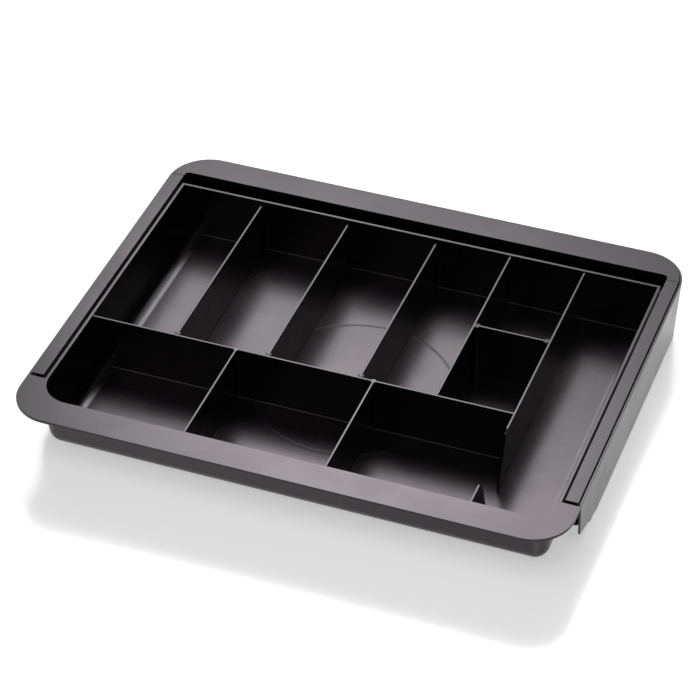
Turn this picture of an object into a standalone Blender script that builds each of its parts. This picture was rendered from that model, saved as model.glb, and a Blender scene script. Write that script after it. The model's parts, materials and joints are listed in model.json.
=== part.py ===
"""A telescoping drawer organiser: a ten-cell front tray that slides out of a rear tray.

Frame: the origin is the middle of the footprint, on the surface the organiser stands on. +X is its
right-hand side, +Y its back and +Z up. It is modelled pushed in. Lengths are in metres.
"""

import math

import bpy
from mathutils import Matrix, Vector

# Clear sizes of the front tray's cells at rim height, from left to right and from front to back.
COLUMN_A = 0.0603
COLUMN_B = 0.0640
COLUMN_C = 0.0640
COLUMN_SMALL = 0.0520
COLUMN_F = 0.0510
FRONT_CELL_LEFT = 0.1037
FRONT_CELL_MIDDLE = 0.0958
FRONT_CELL_DEPTH = 0.0893
PEN_CELL_DEPTH = 0.1576
NEAR_CELL_DEPTH = 0.0768
CELL_HEIGHT = 0.0415

# Front tray moulding. The corner radii are those of its front corners at the rim.
TRAY_WALL = 0.0020
TRAY_DRAFT = 0.0053
TRAY_FILLET = 0.010
TRAY_CORNER = 0.020
TRAY_OUTER_CORNER = 0.014
LEAST_CORNER = 0.001
SWELL_HEIGHT = 0.0085
SWELL_RADIUS = 0.0100
COVE = 0.0010
RIB = 0.0014
RIB_DROP = 0.0008
BOSS_RADIUS = 0.00183
FLANGE_THICK = 0.0020
FRONT_FLANGE = 0.0217
FLANGE_CORNER = 0.028
SHOULDER_DEPTH = 0.0020
SCOOP_TOP = 0.051
SCOOP_BOTTOM = 0.022
SCOOP_FROM_CROSS_WALL = 0.018
SCOOP_ROUND = 0.006

# Removable dividers and the sockets that hold them.
SOCKET_RADIUS = 0.00215
SOCKET_WALL = 0.0007
SOCKET_MOUTH = math.radians(45)
BEAD_CLEARANCE = 0.0003
GUIDE_WIDTH = 0.0012
GUIDE_PROUD = 0.0026
GUIDE_HEIGHT = 0.0200
DIVIDER_CORNER = 0.0050

# Rear tray moulding, the two rails and the rear cap that trim its rim.
SHELL_WALL = 0.0015
SHELL_DRAFT = 0.0027
SHELL_FILLET = 0.0010
SHELL_EDGE = 0.0005
SHELL_CORNER = 0.0285
RAIL_MARGIN = 0.00385
RAIL_WIDTH = 0.0087
RAIL_THICK = 0.0024
RAIL_PROUD = 0.0014
RAIL_SKIRT = 0.0028
RAIL_LEG = 0.0015
LEDGE_WIDTH = 0.0052
LEDGE_THICK = 0.0018
REAR_GAP = 0.0114
CAP_DEPTH = 0.0216
CAP_SIDE = 0.0263
CAP_INNER_CORNER = 0.003
STRAIGHT_SIDE = 0.0122
NOSE_LEAD = 0.0004
NOSE_SLANT = 0.0082
NOSE_TIP_DROP = 0.032
NOSE_FOOT = 0.0506
FLOOR_SETBACK = 0.0306
FLOOR_CORNER = 0.013
FLOOR_LIP = 0.0008

# Glide runners and travel stops under the front tray, and the feet.
TRAVEL = 0.120
RUNNER_WIDTH = 0.010
RUNNER_INSET = 0.024
RUNNER_HEIGHT = 0.0026
LUG = 0.006
LUG_PROUD = 0.0014
LUG_SPREAD = 0.060
LUG_MARGIN = 0.0085
FOOT_RADIUS = 0.0065
FOOT_HEIGHT = 0.0009
FOOT_INSET = 0.035

# Clearances: touching pieces, pieces that slide, the line round the rim trim and that at the rails' ends.
CONTACT = 0.0003
SLIDE_GAP = 0.0004
GROOVE = 0.0005
END_GAP = 0.0010

# Curve resolution and how far a cutter runs past what it cuts.
ARC_STEPS = 14
FILLET_STEPS = 8
COVE_STEPS = 3
ROUND_STEPS = 24
SOCKET_STEPS = 20
PAST = 0.010

# Heights, built up from the surface.
SHELL_UNDER = FOOT_HEIGHT + CONTACT
SHELL_FLOOR = SHELL_UNDER + SHELL_WALL
RUNNER_UNDER = SHELL_FLOOR + SLIDE_GAP
TRAY_UNDER = RUNNER_UNDER + RUNNER_HEIGHT
TRAY_FLOOR = TRAY_UNDER + TRAY_WALL
RIM = TRAY_FLOOR + CELL_HEIGHT
RIB_TOP = RIM - RIB_DROP
FLANGE_UNDER = RIM - FLANGE_THICK
TOP = RIM + RAIL_PROUD
TRIM_UNDER = TOP - RAIL_THICK
SKIRT_UNDER = TRIM_UNDER - RAIL_SKIRT
WING_TOP = SKIRT_UNDER - SLIDE_GAP
WING_UNDER = WING_TOP - FLANGE_THICK
LEDGE_TOP = WING_UNDER - SLIDE_GAP

# Widths, from the middle out.
INNER_WIDTH = COLUMN_A + COLUMN_B + COLUMN_C + 2 * COLUMN_SMALL + COLUMN_F + 5 * RIB
INNER_SIDE = INNER_WIDTH / 2
RAIL_INNER = INNER_SIDE + RAIL_MARGIN
RAIL_OUTER = RAIL_INNER + RAIL_WIDTH
SHELL_INNER = RAIL_OUTER + GROOVE
SHELL_OUTER = SHELL_INNER + SHELL_WALL
SHELL_LEAN = SHELL_DRAFT * (RIM - LEDGE_TOP) / (RIM - SHELL_FLOOR)
LEG_OUTER = SHELL_INNER - SHELL_LEAN - CONTACT
LEG_INNER = LEG_OUTER - RAIL_LEG
WING_SIDE = LEG_INNER - SLIDE_GAP

# Depths, from the front edge back.
DEPTH = (
    FRONT_FLANGE + FRONT_CELL_DEPTH + RIB + PEN_CELL_DEPTH + TRAY_WALL + REAR_GAP
    + CAP_DEPTH + GROOVE + SHELL_WALL
)
FRONT_EDGE = -DEPTH / 2
FRONT_FACE = FRONT_EDGE + FRONT_FLANGE
CROSS_FRONT = FRONT_FACE + FRONT_CELL_DEPTH
CROSS_BACK = CROSS_FRONT + RIB
CROSS_WALL = (CROSS_FRONT + CROSS_BACK) / 2
REAR_FACE = CROSS_BACK + PEN_CELL_DEPTH
TRAY_BACK = REAR_FACE + TRAY_WALL
CAP_INNER = TRAY_BACK + REAR_GAP
CAP_BACK = CAP_INNER + CAP_DEPTH
SHELL_BACK = CAP_BACK + GROOVE
SHOULDER = FRONT_EDGE + FLANGE_CORNER + STRAIGHT_SIDE
RAIL_FRONT = SHOULDER + END_GAP
SEAM = CAP_BACK - CAP_SIDE
FLOOR_FRONT = RAIL_FRONT + FLOOR_SETBACK

# The lugs touch the front ends of their slots when the tray is fully out.
LUG_FRONT = FLOOR_FRONT + LUG_MARGIN + TRAVEL
LUG_BACK = LUG_FRONT + LUG

# Rib centre lines.
RIB_AB = -INNER_SIDE + COLUMN_A + RIB / 2
RIB_BC = RIB_AB + COLUMN_B + RIB
RIB_CD = RIB_BC + COLUMN_C + RIB
RIB_DE = RIB_CD + COLUMN_SMALL + RIB
RIB_EF = RIB_DE + COLUMN_SMALL + RIB
RIB_G12 = -INNER_SIDE + FRONT_CELL_LEFT + RIB / 2
RIB_G23 = RIB_G12 + FRONT_CELL_MIDDLE + RIB
RIB_E12 = CROSS_BACK + NEAR_CELL_DEPTH + RIB / 2

# Divider sockets: a socket's wall sinks half its thickness into the wall that carries it.
BEAD_RADIUS = SOCKET_RADIUS - SOCKET_WALL - BEAD_CLEARANCE
SOCKET_OFFSET = SOCKET_RADIUS - SOCKET_WALL / 2
PEN_SOCKET_Y = CROSS_BACK + SOCKET_OFFSET

BLACK = (0.012, 0.011, 0.013, 1.0)
RUBBER = (0.020, 0.020, 0.020, 1.0)


def clear_scene():
    for thing in list(bpy.data.objects):
        bpy.data.objects.remove(thing, do_unlink=True)


def plastic(name, colour, roughness):
    material = bpy.data.materials.new(name)
    material.use_nodes = True
    shader = material.node_tree.nodes["Principled BSDF"]
    shader.inputs["Base Color"].default_value = colour
    shader.inputs["Roughness"].default_value = roughness
    shader.inputs["Metallic"].default_value = 0.0
    return material


def solid(name, points, faces):
    """A new object from points and outward faces."""
    mesh = bpy.data.meshes.new(name)
    mesh.from_pydata([tuple(point) for point in points], [], faces)
    thing = bpy.data.objects.new(name, mesh)
    bpy.context.scene.collection.objects.link(thing)
    return thing


def loft(name, rings):
    """A closed solid through rings of equal length, lowest first, each anticlockwise seen from above."""
    count = len(rings[0])
    points = [point for ring in rings for point in ring]
    faces = [list(range(count))[::-1], [len(points) - count + place for place in range(count)]]
    for level in range(len(rings) - 1):
        for place in range(count):
            low = level * count + place
            low_next = level * count + (place + 1) % count
            faces.append([low, low_next, low_next + count, low + count])
    return solid(name, points, faces)


def prism(name, outline, low, high):
    """An upright prism on an anticlockwise plan outline."""
    return loft(name, [[(x, y, low) for x, y in outline], [(x, y, high) for x, y in outline]])


def side_prism(name, outline, left, right):
    """A prism along X on an outline of (y, z) points, anticlockwise seen from +X."""
    count = len(outline)
    points = [(left, y, z) for y, z in outline] + [(right, y, z) for y, z in outline]
    faces = [list(range(count))[::-1], list(range(count, 2 * count))]
    for place in range(count):
        following = (place + 1) % count
        faces.append([place, following, following + count, place + count])
    return solid(name, points, faces)


def block(name, x_range, y_range, z_range):
    (left, right), (front, back) = x_range, y_range
    outline = [(left, front), (right, front), (right, back), (left, back)]
    return prism(name, outline, *z_range)


def post(name, centre, radius, z_range, steps=ROUND_STEPS):
    outline = arc(centre, radius, 0, 2 * math.pi, steps)[:-1]
    return prism(name, outline, *z_range)


def arc(centre, radius, start, end, steps):
    angles = [start + (end - start) * step / steps for step in range(steps + 1)]
    return [(centre[0] + radius * math.cos(a), centre[1] + radius * math.sin(a)) for a in angles]


def rounded_plan(side, front, back, front_radius, back_radius):
    """A plan outline symmetric about x = 0, anticlockwise, with front and back corner radii."""
    corners = (
        ((side - front_radius, front + front_radius), front_radius, -math.pi / 2),
        ((side - back_radius, back - back_radius), back_radius, 0.0),
        ((back_radius - side, back - back_radius), back_radius, math.pi / 2),
        ((front_radius - side, front + front_radius), front_radius, math.pi),
    )
    outline = []
    for centre, radius, start in corners:
        if radius:
            outline += arc(centre, radius, start, start + math.pi / 2, ARC_STEPS)
        else:
            outline.append(centre)
    return outline


def wall_profile(height, draft, fillet, proud, above):
    """(inset, height) pairs of a leaning wall with a rounded foot, moved outwards by proud, lowest first."""
    lean = math.atan2(draft, height)
    centre = draft + fillet * (math.hypot(height, draft) - draft) / height
    foot = []
    for step in range(FILLET_STEPS + 1):
        angle = math.pi / 2 - (math.pi / 2 - lean) * step / FILLET_STEPS
        reach = fillet + proud
        foot.append((centre - reach * math.cos(angle), fillet - reach * math.sin(angle)))
    spread = -proud / math.cos(lean) - above * draft / height
    return foot + [(spread, height + above)]


def boolean(target, tools, operation):
    """Applies one operation with each tool in turn, and removes the tools."""
    for tool in tools:
        step = target.modifiers.new(operation, "BOOLEAN")
        step.solver = "EXACT"
        step.object = tool
        step.operation = operation
    bpy.context.view_layer.update()
    graph = bpy.context.evaluated_depsgraph_get()
    target.data = bpy.data.meshes.new_from_object(target.evaluated_get(graph))
    target.modifiers.clear()
    for tool in tools:
        bpy.data.objects.remove(tool, do_unlink=True)
    return target


def join(target, *tools):
    return boolean(target, tools, "UNION")


def cut(target, *tools):
    return boolean(target, tools, "DIFFERENCE")


def keep_common(target, tool):
    return boolean(target, (tool,), "INTERSECT")


def finish(thing, material, origin):
    """Gives the piece its material and its origin, and smooths its round faces."""
    thing.data.transform(Matrix.Translation(-Vector(origin)))
    thing.location = origin
    thing.data.materials.clear()
    thing.data.materials.append(material)
    thing.data.shade_smooth()
    thing.data.set_sharp_from_angle(angle=math.radians(30))
    return thing


def tray_basin(name, proud, above, corner=TRAY_CORNER):
    """The front tray's cavity, or that cavity grown outwards by proud."""
    rings = []
    for inset, height in wall_profile(CELL_HEIGHT, TRAY_DRAFT, TRAY_FILLET, proud, above):
        radius = max(corner - inset, LEAST_CORNER)
        plan = rounded_plan(INNER_SIDE - inset, FRONT_FACE + inset, REAR_FACE + proud, radius, 0)
        rings.append([(x, y, TRAY_FLOOR + height) for x, y in plan])
    return loft(name, rings)


def front_swell():
    """The rounded thickening under the front flange, where the body's walls and front corners run into it."""
    rings = []
    for step in range(FILLET_STEPS + 1):
        height = SWELL_HEIGHT * step / FILLET_STEPS
        z = FLANGE_UNDER + FLANGE_THICK / 2 - SWELL_HEIGHT + height
        grow = SWELL_RADIUS - math.sqrt(SWELL_RADIUS**2 - height**2)
        grow += TRAY_WALL - TRAY_DRAFT * (RIM - z) / CELL_HEIGHT
        corner = TRAY_OUTER_CORNER - TRAY_WALL + grow
        plan = rounded_plan(INNER_SIDE + grow, FRONT_FACE - grow, SHOULDER + PAST, corner, 0)
        rings.append([(x, y, z) for x, y in plan])
    return cut(loft("swell", rings), block("rest", (-1, 1), (SHOULDER, 1), (0, 1)))


def tray_flange():
    """The front flange: full width, level with the rim, with rounded front corners."""
    right = [(SHELL_OUTER, SHOULDER)]
    right += arc(
        (SHELL_OUTER - FLANGE_CORNER, FRONT_EDGE + FLANGE_CORNER), FLANGE_CORNER, 0, -math.pi / 2, ARC_STEPS
    )
    left = [(-x, y) for x, y in reversed(right)]
    return prism("flange", (right + left)[::-1], FLANGE_UNDER, RIM)


def tray_wings():
    """The lower flanges that run under the rails, and the shoulder that ties them to the front flange.

    The wings taper off where the rim of the rear tray starts to turn its corner.
    """
    wing_back = min(TRAY_BACK, SHELL_BACK - SHELL_CORNER)
    front = SHOULDER - SHOULDER_DEPTH
    right = [(INNER_SIDE + TRAY_WALL, TRAY_BACK), (WING_SIDE, wing_back), (WING_SIDE, front)]
    left = [(-x, y) for x, y in reversed(right)]
    wings = prism("wings", (right + left)[::-1], WING_UNDER, WING_TOP)
    upright = (WING_UNDER, RIM - FLANGE_THICK / 2)
    shoulder = block("shoulder", (-WING_SIDE, WING_SIDE), (front, SHOULDER), upright)
    return join(wings, shoulder)


def rib(name, x_range, y_range):
    return block(name, x_range, y_range, (TRAY_FLOOR - TRAY_WALL, RIB_TOP))


def rib_along(name, x, front, back):
    return rib(name, (x - RIB / 2, x + RIB / 2), (front, back))


def scoop_cutter():
    """The finger scoop between the front-right cell and the long right-hand cell, open to the floor."""
    back = CROSS_FRONT - SCOOP_FROM_CROSS_WALL
    middle = back - SCOOP_TOP / 2
    lean = math.atan2((SCOOP_TOP - SCOOP_BOTTOM) / 2, RIB_TOP - TRAY_FLOOR)
    reach = SCOOP_ROUND * math.tan(math.pi / 4 - lean / 2)
    centre = (-SCOOP_TOP / 2 - reach, RIB_TOP - SCOOP_ROUND)
    side = [(-SCOOP_TOP / 2 - reach, RIM + PAST)]
    side += arc(centre, SCOOP_ROUND, math.pi / 2, lean, ARC_STEPS // 2)
    side.append((-SCOOP_BOTTOM / 2, TRAY_FLOOR))
    outline = [(middle + y, z) for y, z in side] + [(middle - y, z) for y, z in reversed(side)]
    return side_prism("scoop", outline, RIB_EF - PAST, RIB_EF + PAST)


def socket(centre, towards):
    """A split round socket, its wedge-shaped mouth facing one way."""
    upright = (TRAY_FLOOR - TRAY_WALL, RIB_TOP)
    above = (TRAY_FLOOR, RIB_TOP + PAST)
    bore = post("bore", centre, SOCKET_RADIUS - SOCKET_WALL, above, SOCKET_STEPS)
    middle = math.atan2(towards[1], towards[0])
    sides = arc(centre, 2 * SOCKET_RADIUS, middle - SOCKET_MOUTH, middle + SOCKET_MOUTH, 1)
    mouth = prism("mouth", [centre] + sides, *above)
    return cut(post("socket", centre, SOCKET_RADIUS, upright, SOCKET_STEPS), bore, mouth)


def guide(x):
    """Two low upright ribs on the rear wall that hold a divider's back edge."""
    pieces = []
    for side in (-1, 1):
        near = x + side * (RIB / 2 + CONTACT)
        far = near + side * GUIDE_WIDTH
        y_range = (REAR_FACE - GUIDE_PROUD, TRAY_BACK)
        z_range = (TRAY_FLOOR - TRAY_WALL, TRAY_FLOOR + GUIDE_HEIGHT)
        pieces.append(block("guide", sorted((near, far)), y_range, z_range))
    return pieces


def cove(x_range, face):
    """The small fillet along the foot of a cross wall's front face."""
    low = TRAY_FLOOR - TRAY_WALL / 2
    curve = arc((face - COVE, TRAY_FLOOR + COVE), COVE, 0, -math.pi / 2, COVE_STEPS)
    outline = [(face + RIB / 2, low), (face + RIB / 2, TRAY_FLOOR + COVE)] + curve + [(face - COVE, low)]
    return side_prism("cove", outline, *x_range)


def tray_ribs():
    """The moulded cross wall, ribs, corner bosses, divider sockets and guides as one solid."""
    ribs = rib_along("ribs", RIB_EF, FRONT_FACE - TRAY_WALL, TRAY_BACK)
    cut(ribs, scoop_cutter())
    parts = [rib("cross", (-INNER_SIDE - TRAY_WALL, RIB_EF), (CROSS_FRONT, CROSS_BACK))]
    parts.append(rib_along("de", RIB_DE, CROSS_WALL, TRAY_BACK))
    parts += [rib_along("front", x, FRONT_FACE - TRAY_WALL, CROSS_WALL) for x in (RIB_G12, RIB_G23)]
    upright = (TRAY_FLOOR - TRAY_WALL, RIB_TOP)
    for x in (RIB_G12, RIB_G23):
        parts.append(post("boss", (x, CROSS_WALL), BOSS_RADIUS, upright))
    parts.append(cove((-INNER_SIDE, RIB_EF), CROSS_FRONT))
    parts.append(cove((-INNER_SIDE, INNER_SIDE), REAR_FACE))
    for x in (RIB_AB, RIB_BC, RIB_CD):
        parts.append(socket((x, PEN_SOCKET_Y), (0, 1)))
        parts += guide(x)
    parts.append(socket((RIB_DE + RIB / 2 + SOCKET_OFFSET, RIB_E12), (1, 0)))
    parts.append(socket((RIB_EF - RIB / 2 - SOCKET_OFFSET, RIB_E12), (-1, 0)))
    join(ribs, *parts)
    return keep_common(ribs, tray_basin("core", TRAY_WALL / 2, 0))


def lug_blocks(width, front, back, z_range):
    return [
        block("lug", (x - width / 2, x + width / 2), (front, back), z_range)
        for x in (-LUG_SPREAD, LUG_SPREAD)
    ]


def front_tray(material):
    tray = tray_basin("front_tray", TRAY_WALL, 0, TRAY_OUTER_CORNER - TRAY_WALL)
    join(tray, front_swell(), tray_flange(), tray_wings())
    cut(tray, tray_basin("cavity", 0, PAST))
    join(tray, tray_ribs())
    sunk = TRAY_UNDER + TRAY_WALL / 2
    runners = (FRONT_FACE + RUNNER_INSET, REAR_FACE - RUNNER_INSET, (RUNNER_UNDER, sunk))
    join(tray, *lug_blocks(RUNNER_WIDTH, *runners))
    join(tray, *lug_blocks(LUG, LUG_FRONT, LUG_BACK, (RUNNER_UNDER - LUG_PROUD, sunk)))
    return finish(tray, material, (0, TRAY_BACK, TRAY_UNDER))


def divider_outline():
    """(y, z) outline of a long divider: its bead end at the front, one rounded top corner at the back."""
    back = REAR_FACE - CONTACT
    low = TRAY_FLOOR + CONTACT
    corner = arc((back - DIVIDER_CORNER, RIB_TOP - DIVIDER_CORNER), DIVIDER_CORNER, 0, math.pi / 2, ARC_STEPS)
    return [(PEN_SOCKET_Y, low), (back, low)] + corner + [(PEN_SOCKET_Y, RIB_TOP)]


def long_divider(name, x, material):
    plate = side_prism(name, divider_outline(), x - RIB / 2, x + RIB / 2)
    bead = post("bead", (x, PEN_SOCKET_Y), BEAD_RADIUS, (TRAY_FLOOR + CONTACT, RIB_TOP))
    return finish(join(plate, bead), material, (x, PEN_SOCKET_Y, TRAY_FLOOR + CONTACT))


def short_divider(material):
    upright = (TRAY_FLOOR + CONTACT, RIB_TOP)
    left = RIB_DE + RIB / 2 + SOCKET_OFFSET
    right = RIB_EF - RIB / 2 - SOCKET_OFFSET
    plate = block("divider_e", (left, right), (RIB_E12 - RIB / 2, RIB_E12 + RIB / 2), upright)
    beads = [post("bead", (x, RIB_E12), BEAD_RADIUS, upright) for x in (left, right)]
    return finish(join(plate, *beads), material, ((left + right) / 2, RIB_E12, TRAY_FLOOR + CONTACT))


def shell_basin(name, fillet, proud, above):
    """The rear tray's inside, or that grown outwards by proud. It runs on past the open front."""
    rings = []
    for inset, height in wall_profile(RIM - SHELL_FLOOR, SHELL_DRAFT, fillet, proud, above):
        plan = rounded_plan(
            SHELL_INNER - inset, FRONT_EDGE - PAST - proud, SHELL_BACK - inset, 0, SHELL_CORNER - inset
        )
        rings.append([(x, y, SHELL_FLOOR + height) for x, y in plan])
    return loft(name, rings)


def nose_outline():
    """(y, z) outline of what is cut from the side walls, which leaves a slanted nose."""
    front = RAIL_FRONT - NOSE_LEAD
    slope = NOSE_SLANT / NOSE_TIP_DROP
    return [
        (FRONT_EDGE - 3 * PAST, -PAST),
        (RAIL_FRONT + NOSE_FOOT, -PAST),
        (RAIL_FRONT + NOSE_FOOT, SHELL_UNDER),
        (front + NOSE_SLANT, RIM - NOSE_TIP_DROP),
        (front - slope * PAST, RIM + PAST),
        (FRONT_EDGE - 3 * PAST, RIM + PAST),
    ]


def floor_cutter():
    """Everything in front of the rear tray's floor, whose front corners are rounded."""
    side = SHELL_OUTER - SHELL_DRAFT - FLOOR_CORNER
    centre_y = FLOOR_FRONT + FLOOR_CORNER
    right = arc((side, centre_y), FLOOR_CORNER, -math.pi / 2, 0, ARC_STEPS)
    right.append((SHELL_OUTER + PAST, centre_y))
    right.append((SHELL_OUTER + PAST, FRONT_EDGE - 4 * PAST))
    left = [(-x, y) for x, y in reversed(right)]
    return prism("floor_front", (left + right)[::-1], -PAST, SHELL_FLOOR + SHELL_FILLET)


def ledge():
    """The step inside the rim that carries the flange of the front tray and the feet of the trim."""
    low = LEDGE_TOP - LEDGE_THICK
    solids = []
    for inset, past in ((SHELL_LEAN - SHELL_WALL / 2, 0), (SHELL_LEAN + LEDGE_WIDTH, PAST)):
        plan = rounded_plan(
            SHELL_INNER - inset, FRONT_EDGE - PAST / 2 - past, SHELL_BACK - inset, 0, SHELL_CORNER - inset
        )
        solids.append(prism("ledge", plan, low - past, LEDGE_TOP + past))
    return cut(*solids)


def rear_tray(material):
    tray = shell_basin("rear_tray", SHELL_EDGE - SHELL_WALL, SHELL_WALL, 0)
    cut(tray, shell_basin("inside", SHELL_FILLET, 0, PAST))
    join(tray, ledge())
    nose = side_prism("nose", nose_outline(), -SHELL_OUTER - PAST, SHELL_OUTER + PAST)
    flat_side = SHELL_OUTER - SHELL_DRAFT - FLOOR_LIP
    flat_floor = (FRONT_EDGE - 4 * PAST, RAIL_FRONT + NOSE_FOOT + PAST)
    spared = block("spared", (-flat_side, flat_side), flat_floor, (-2 * PAST, SHELL_FLOOR + SHELL_FILLET))
    cut(tray, cut(nose, spared), floor_cutter())
    ends = (LUG_FRONT - TRAVEL - SLIDE_GAP, LUG_BACK + SLIDE_GAP)
    cut(tray, *lug_blocks(LUG + 2 * SLIDE_GAP, *ends, (-PAST, SHELL_FLOOR + PAST)))
    return finish(tray, material, (0, 0, SHELL_UNDER))


def trim_band(outer, inner, z_range):
    """A horseshoe band, open at the front, between two outlines, each given by its side, back and corner."""
    (side, back, corner), (inner_side, inner_back, inner_corner) = outer, inner
    band = prism("band", rounded_plan(side, RAIL_FRONT, back, 0, corner), *z_range)
    opening = rounded_plan(inner_side, RAIL_FRONT - PAST, inner_back, 0, inner_corner)
    return cut(band, prism("opening", opening, z_range[0] - PAST, z_range[1] + PAST))


def along_shell(side):
    """The side, back and corner of an outline that runs parallel to the rear tray's rim."""
    inset = SHELL_INNER - side
    return side, SHELL_BACK - inset, SHELL_CORNER - inset


def rim_trim(name):
    """The whole trim round the rim: a flat top, an inner skirt, and an outer leg that stands on the ledge."""
    sunk = TRIM_UNDER + RAIL_THICK / 2
    inner = (RAIL_INNER, CAP_INNER, CAP_INNER_CORNER)
    top = trim_band(along_shell(RAIL_OUTER), inner, (TRIM_UNDER, TOP))
    skirt = trim_band([size + RAIL_LEG for size in inner], inner, (SKIRT_UNDER, sunk))
    leg = trim_band(along_shell(LEG_OUTER), along_shell(LEG_INNER), (LEDGE_TOP + CONTACT, sunk))
    trim = join(top, skirt, leg)
    trim.name = name
    return trim


def trim_piece(name, x_range, y_range, origin, material):
    """One piece of the trim, parted from the others at the seams."""
    piece = keep_common(rim_trim(name), block("part", x_range, y_range, (0, TOP + PAST)))
    return finish(piece, material, origin)


def rails_and_cap(material):
    """A rail along each side, and the wide cap across the back that wraps both rear corners."""
    past_side = SHELL_OUTER + PAST
    front = (FRONT_EDGE, SEAM - CONTACT)
    trim_piece("left_rail", (-past_side, 0), front, (-RAIL_INNER, RAIL_FRONT, TRIM_UNDER), material)
    trim_piece("right_rail", (0, past_side), front, (RAIL_INNER, RAIL_FRONT, TRIM_UNDER), material)
    back = (SEAM, SHELL_BACK + PAST)
    trim_piece("rear_cap", (-past_side, past_side), back, (0, CAP_INNER, TRIM_UNDER), material)


def foot(name, centre, height, material):
    disc = post(name, centre, FOOT_RADIUS, (0, height))
    return finish(disc, material, (*centre, 0))


def feet(material):
    """Four under the rear tray, and two under the front tray ahead of the rear tray's floor."""
    side = SHELL_OUTER - SHELL_DRAFT - FOOT_INSET
    places = ((FLOOR_FRONT + FOOT_INSET, "front"), (SHELL_BACK - FOOT_INSET, "back"))
    for y, end in places:
        for x, hand in ((-side, "left"), (side, "right")):
            foot(f"rear_tray_foot_{end}_{hand}", (x, y), FOOT_HEIGHT, material)
    y = FLOOR_FRONT - SLIDE_GAP - FOOT_RADIUS * 3
    for x, hand in ((-side, "left"), (side, "right")):
        foot(f"front_tray_foot_{hand}", (x, y), TRAY_UNDER - CONTACT, material)


def main():
    clear_scene()
    satin = plastic("black_satin_plastic", BLACK, 0.38)
    trim = plastic("black_trim_plastic", BLACK, 0.34)
    rubber = plastic("black_rubber", RUBBER, 0.85)
    front_tray(satin)
    rear_tray(satin)
    rails_and_cap(trim)
    for name, x in (("divider_ab", RIB_AB), ("divider_bc", RIB_BC), ("divider_cd", RIB_CD)):
        long_divider(name, x, satin)
    short_divider(satin)
    feet(rubber)


main()
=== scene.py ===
import json
import math

import bpy
from mathutils import Matrix, Vector

# A telescoping drawer organiser in satin black plastic, on a white glossy table.
# Lengths are in metres, in the frame's own axes: +X right, +Y back, +Z up.

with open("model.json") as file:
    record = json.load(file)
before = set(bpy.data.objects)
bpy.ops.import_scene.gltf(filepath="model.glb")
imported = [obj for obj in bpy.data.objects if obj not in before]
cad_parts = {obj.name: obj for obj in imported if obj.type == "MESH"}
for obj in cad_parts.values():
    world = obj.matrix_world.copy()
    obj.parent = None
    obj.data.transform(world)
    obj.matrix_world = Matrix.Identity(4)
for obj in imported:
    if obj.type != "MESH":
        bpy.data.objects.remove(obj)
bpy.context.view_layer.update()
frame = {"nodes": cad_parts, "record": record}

# Camera: its lens in millimetres, where it looks from and how far it is rolled.
CAMERA_LENS = 144.85
CAMERA_AZIMUTH = math.radians(20.5745)
CAMERA_ELEVATION = math.radians(39.3804)
CAMERA_ROLL = math.radians(-0.4401)
CAMERA_PLACE = Vector((0.5097, -1.3728, 1.2369))

# The rounded edges of the mouldings. Edges that turn by less than SHARP are shaded smooth.
EDGE_RADIUS = 0.00025
EDGE_STEPS = 2
SHARP = math.radians(35)
MERGE = 0.00001
FLAT = math.radians(0.5)

# Black plastic: its darkest and palest colour, and the faint pink of its gloss.
BLACK = ((0.0014, 0.0012, 0.0016, 1), (0.0024, 0.0021, 0.0027, 1))
TINT = (1.0, 0.89, 0.965, 1)
CLOUD_SIZE = 0.035
CLOUD_DETAIL = 3
CLOUD_RANGE = (0.35, 0.65)
GRAIN_DETAIL = 2
GRAIN_ROUGHNESS = 0.03

# Each plastic's roughness from one cloud to the next, the size of its grain and how deep that is.
TRAY_FINISH = ((0.24, 0.27), 0.0005, 0.000006)
TRIM_FINISH = ((0.30, 0.34), 0.0006, 0.000010)
DIVIDER_FINISH = ((0.26, 0.30), 0.0005, 0.000005)

# The ring that the mould left on the front tray's floor, which is RING_LEVEL high.
RING_CENTRE = (0.0, -0.0085)
RING_RADIUS = 0.0685
RING_WIDTH = 0.0018
RING_LEVEL = 0.0077
RING_REACH = 0.0008
RING_DEPTH = 0.00004
RING_ROUGHNESS = 0.22

# The feet's rubber.
RUBBER = ((0.012, 0.012, 0.012, 1), (0.024, 0.024, 0.023, 1))
RUBBER_ROUGHNESS = (0.75, 0.9)
SPECKLE_SIZE = 0.0008
SPECKLE_DETAIL = 4
SPECKLE_RANGE = (0.3, 0.7)
SPECKLE_DEPTH = 0.00006

# The table: half its width, how far it lies under the feet, its paint, its gloss and its glow.
FLOOR_REACH = 4.0
FLOOR_DROP = 0.0005
FLOOR_PAINT = (0.85, 0.85, 0.85, 1)
FLOOR_GLOSS = 0.20
FLOOR_ROUGHNESS = 0.18
FLOOR_GLOW = 0.48

# Softboxes: name, azimuth from +X towards +Y, elevation (both in degrees) and power in watts.
SOFTBOX_SIZE = 0.5
SOFTBOX_DISTANCE = 1.0
SOFTBOX_AIM = Vector((0, 0, 0.05))
SOFTBOXES = [
    ("key_middle", 113, 45, 3.0),
    ("key_high", 100, 55, 2.7),
    ("key_low", 113, 30, 0.5),
    ("key_left", 126, 40, 1.3),
    ("back_middle", 80, 45, 0.6),
    ("back_low", 80, 25, 0.9),
    ("overhead", 0, 90, 0.2),
    ("front_left", 235, 45, 1.2),
    ("front_right", 300, 50, 2.8),
]


def place_in_scene(name, data):
    thing = bpy.data.objects.new(name, data)
    bpy.context.scene.collection.objects.link(thing)
    return thing


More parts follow.
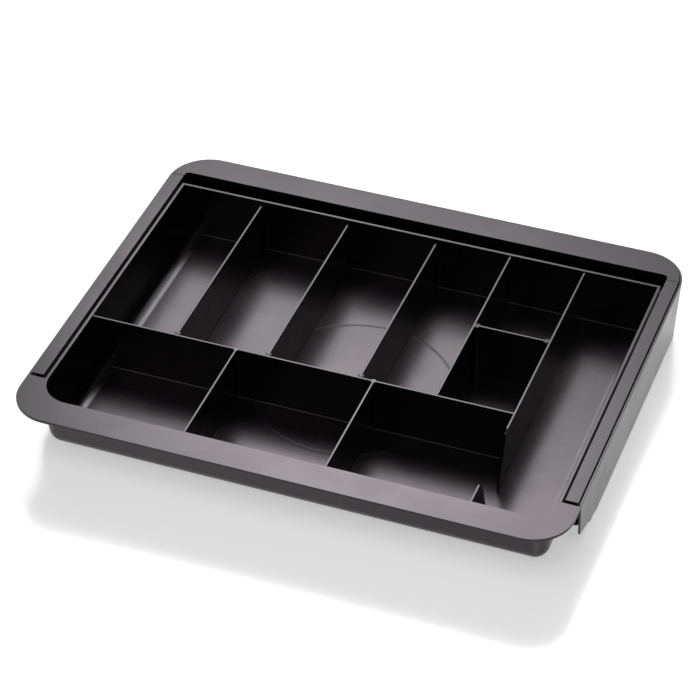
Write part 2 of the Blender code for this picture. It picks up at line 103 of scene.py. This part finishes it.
def camera():
    data = bpy.data.cameras.new("camera")
    data.lens = CAMERA_LENS
    thing = place_in_scene("camera", data)
    a, e = CAMERA_AZIMUTH, CAMERA_ELEVATION
    back = Vector((math.sin(a) * math.cos(e), -math.cos(a) * math.cos(e), math.sin(e)))
    right = Vector((math.cos(a), math.sin(a), 0))
    up = back.cross(right)
    roll = Matrix.Rotation(CAMERA_ROLL, 4, back)
    basis = Matrix((right, up, back)).transposed().to_4x4()
    thing.matrix_world = Matrix.Translation(CAMERA_PLACE) @ roll @ basis
    bpy.context.scene.camera = thing


class Finish:
    """A material built node by node. Sockets that it returns are linked into later nodes."""

    def __init__(self, name):
        self.material = bpy.data.materials.new(name)
        self.material.use_nodes = True
        self.nodes = self.material.node_tree.nodes
        self.nodes.clear()
        self.out = self.add("ShaderNodeOutputMaterial")

    def add(self, kind):
        return self.nodes.new(kind)

    def link(self, source, target):
        self.material.node_tree.links.new(source, target)

    def object_place(self):
        return self.add("ShaderNodeTexCoord").outputs["Object"]

    def noise(self, where, size, detail):
        """Noise whose features are about size across."""
        node = self.add("ShaderNodeTexNoise")
        node.inputs["Scale"].default_value = 1 / size
        node.inputs["Detail"].default_value = detail
        self.link(where, node.inputs["Vector"])
        return node.outputs["Fac"]

    def mapped(self, value, from_range, to_range):
        """The value carried smoothly from one range to another, and held at its ends."""
        node = self.add("ShaderNodeMapRange")
        node.interpolation_type = "SMOOTHSTEP"
        for number, socket in zip((*from_range, *to_range), node.inputs[1:5]):
            socket.default_value = number
        self.link(value, node.inputs["Value"])
        return node.outputs["Result"]

    def worked_out(self, operation, *values):
        """A Math node of sockets and plain numbers."""
        node = self.add("ShaderNodeMath")
        node.operation = operation
        for socket, value in zip(node.inputs, values):
            if isinstance(value, (int, float)):
                socket.default_value = value
            else:
                self.link(value, socket)
        return node.outputs[0]

    def vector(self, operation, value, other=(0, 0, 0)):
        """A Vector Math node of a socket and a plain vector."""
        node = self.add("ShaderNodeVectorMath")
        node.operation = operation
        node.inputs[1].default_value = other
        self.link(value, node.inputs[0])
        return node.outputs["Value" if operation == "LENGTH" else "Vector"]

    def mixed(self, factor, colours):
        node = self.add("ShaderNodeMix")
        node.data_type = "RGBA"
        node.inputs["A"].default_value, node.inputs["B"].default_value = colours
        self.link(factor, node.inputs["Factor"])
        return node.outputs["Result"]

    def bumped(self, height, depth, under=None):
        node = self.add("ShaderNodeBump")
        node.inputs["Distance"].default_value = depth
        self.link(height, node.inputs["Height"])
        if under:
            self.link(under, node.inputs["Normal"])
        return node.outputs["Normal"]

    def surface(self, colour, roughness, normal, tint=(1, 1, 1, 1)):
        """Ends the material in a Principled shader, and returns the material."""
        shader = self.add("ShaderNodeBsdfPrincipled")
        shader.inputs["Specular Tint"].default_value = tint
        self.link(colour, shader.inputs["Base Color"])
        self.link(roughness, shader.inputs["Roughness"])
        self.link(normal, shader.inputs["Normal"])
        self.link(shader.outputs["BSDF"], self.out.inputs["Surface"])
        return self.material


def floor_ring(finish, place):
    """1 along the ring on the front tray's floor, and 0 elsewhere."""
    from_centre = finish.vector("SUBTRACT", place, (*RING_CENTRE, 0))
    in_plan = finish.vector("MULTIPLY", from_centre, (1, 1, 0))
    off = finish.worked_out("SUBTRACT", finish.vector("LENGTH", in_plan), RING_RADIUS)
    band = finish.mapped(finish.worked_out("ABSOLUTE", off), (0, RING_WIDTH), (1, 0))
    split = finish.add("ShaderNodeSeparateXYZ")
    finish.link(place, split.inputs[0])
    level = finish.worked_out("COMPARE", split.outputs["Z"], RING_LEVEL, RING_REACH)
    return finish.worked_out("MULTIPLY", band, level)


def moulded(name, roughness, grain_size, grain_depth, ringed=False):
    """A black moulding: clouded colour and gloss under a fine grain, and the ring where it has one."""
    finish = Finish(name)
    place = finish.object_place()
    cloud = finish.mapped(finish.noise(place, CLOUD_SIZE, CLOUD_DETAIL), CLOUD_RANGE, (0, 1))
    grain = finish.noise(place, grain_size, GRAIN_DETAIL)
    rough = finish.mapped(cloud, (0, 1), roughness)
    rough = finish.worked_out("MULTIPLY_ADD", grain, GRAIN_ROUGHNESS, rough)
    normal = finish.bumped(grain, grain_depth)
    if ringed:
        ring = floor_ring(finish, place)
        rough = finish.worked_out("MULTIPLY_ADD", ring, RING_ROUGHNESS, rough)
        normal = finish.bumped(ring, -RING_DEPTH, normal)
    return finish.surface(finish.mixed(cloud, BLACK), rough, normal, TINT)


def rubber(name):
    """Matt black rubber with a coarse speckle."""
    finish = Finish(name)
    speckle = finish.noise(finish.object_place(), SPECKLE_SIZE, SPECKLE_DETAIL)
    rough = finish.mapped(speckle, SPECKLE_RANGE, RUBBER_ROUGHNESS)
    return finish.surface(finish.mixed(speckle, RUBBER), rough, finish.bumped(speckle, SPECKLE_DEPTH))


def table_top():
    """White paint under gloss, with a glow of its own that keeps it white far from the lights."""
    finish = Finish("floor_acrylic")
    paint = finish.add("ShaderNodeBsdfDiffuse")
    paint.inputs["Color"].default_value = FLOOR_PAINT
    gloss = finish.add("ShaderNodeBsdfGlossy")
    gloss.inputs["Roughness"].default_value = FLOOR_ROUGHNESS
    coated = finish.add("ShaderNodeMixShader")
    coated.inputs["Fac"].default_value = FLOOR_GLOSS
    glow = finish.add("ShaderNodeEmission")
    glow.inputs["Strength"].default_value = FLOOR_GLOW
    both = finish.add("ShaderNodeAddShader")
    finish.link(paint.outputs[0], coated.inputs[1])
    finish.link(gloss.outputs[0], coated.inputs[2])
    finish.link(coated.outputs[0], both.inputs[0])
    finish.link(glow.outputs[0], both.inputs[1])
    finish.link(both.outputs[0], finish.out.inputs["Surface"])
    return finish.material


def angle_smoother():
    """A node group that shades smooth across every edge that turns by less than SHARP."""
    group = bpy.data.node_groups.new("smooth_by_angle", "GeometryNodeTree")
    for way in ("INPUT", "OUTPUT"):
        group.interface.new_socket("Geometry", in_out=way, socket_type="NodeSocketGeometry")
    start = group.nodes.new("NodeGroupInput")
    end = group.nodes.new("NodeGroupOutput")
    angle = group.nodes.new("GeometryNodeInputMeshEdgeAngle")
    less = group.nodes.new("FunctionNodeCompare")
    less.data_type = "FLOAT"
    less.operation = "LESS_THAN"
    less.inputs[1].default_value = SHARP
    shade = group.nodes.new("GeometryNodeSetShadeSmooth")
    shade.domain = "EDGE"
    group.links.new(start.outputs[0], shade.inputs["Geometry"])
    group.links.new(angle.outputs["Unsigned Angle"], less.inputs[0])
    group.links.new(less.outputs[0], shade.inputs["Shade Smooth"])
    group.links.new(shade.outputs[0], end.inputs[0])
    return group


def soften(node, smooth_by_angle):
    """Welds the CAD's triangles, dissolves what is flat and rounds the moulding's edges."""
    node.data.shade_smooth()
    weld = node.modifiers.new("weld", "WELD")
    weld.merge_threshold = MERGE
    flat = node.modifiers.new("flat", "DECIMATE")
    flat.decimate_type = "DISSOLVE"
    flat.angle_limit = FLAT
    edges = node.modifiers.new("edges", "BEVEL")
    edges.width = EDGE_RADIUS
    edges.segments = EDGE_STEPS
    edges.limit_method = "ANGLE"
    edges.angle_limit = SHARP
    edges.use_clamp_overlap = False
    smooth = node.modifiers.new("smooth", "NODES")
    smooth.node_group = smooth_by_angle
    weigh = node.modifiers.new("weigh", "WEIGHTED_NORMAL")
    weigh.keep_sharp = True


def finish_pieces():
    """Gives each CAD piece the finish of its material slot, and rounds its edges."""
    finishes = {
        "tray_plastic": moulded("tray_plastic", *TRAY_FINISH, ringed=True),
        "trim_plastic": moulded("trim_plastic", *TRIM_FINISH),
        "divider_plastic": moulded("divider_plastic", *DIVIDER_FINISH),
        "foot_rubber": rubber("foot_rubber"),
    }
    smooth_by_angle = angle_smoother()
    for subpart in frame["record"]["subparts"]:
        node = frame["nodes"][subpart["node"]]
        node.data.materials.clear()
        node.data.materials.append(finishes[subpart["material_slot"]])
        soften(node, smooth_by_angle)


def floor():
    mesh = bpy.data.meshes.new("floor")
    reach = FLOOR_REACH
    corners = [(-reach, -reach, 0), (reach, -reach, 0), (reach, reach, 0), (-reach, reach, 0)]
    mesh.from_pydata(corners, [], [(0, 1, 2, 3)])
    mesh.materials.append(table_top())
    thing = place_in_scene("floor", mesh)
    thing.location.z = -FLOOR_DROP


def softbox(name, azimuth, elevation, power):
    """A square softbox that faces the tray."""
    data = bpy.data.lights.new(name, "AREA")
    data.size = SOFTBOX_SIZE
    data.energy = power
    a, e = math.radians(azimuth), math.radians(elevation)
    away = Vector((math.cos(a) * math.cos(e), math.sin(a) * math.cos(e), math.sin(e)))
    thing = place_in_scene(name, data)
    thing.location = SOFTBOX_AIM + away * SOFTBOX_DISTANCE
    thing.rotation_euler = away.to_track_quat("Z", "Y").to_euler()


def dark_room():
    """No light but the softboxes and the table's glow."""
    world = bpy.data.worlds.new("world")
    world.use_nodes = True
    world.node_tree.nodes["Background"].inputs["Strength"].default_value = 0
    bpy.context.scene.world = world


finish_pieces()
camera()
floor()
for row in SOFTBOXES:
    softbox(*row)
dark_room()
bpy.context.scene.view_settings.view_transform = "Standard"
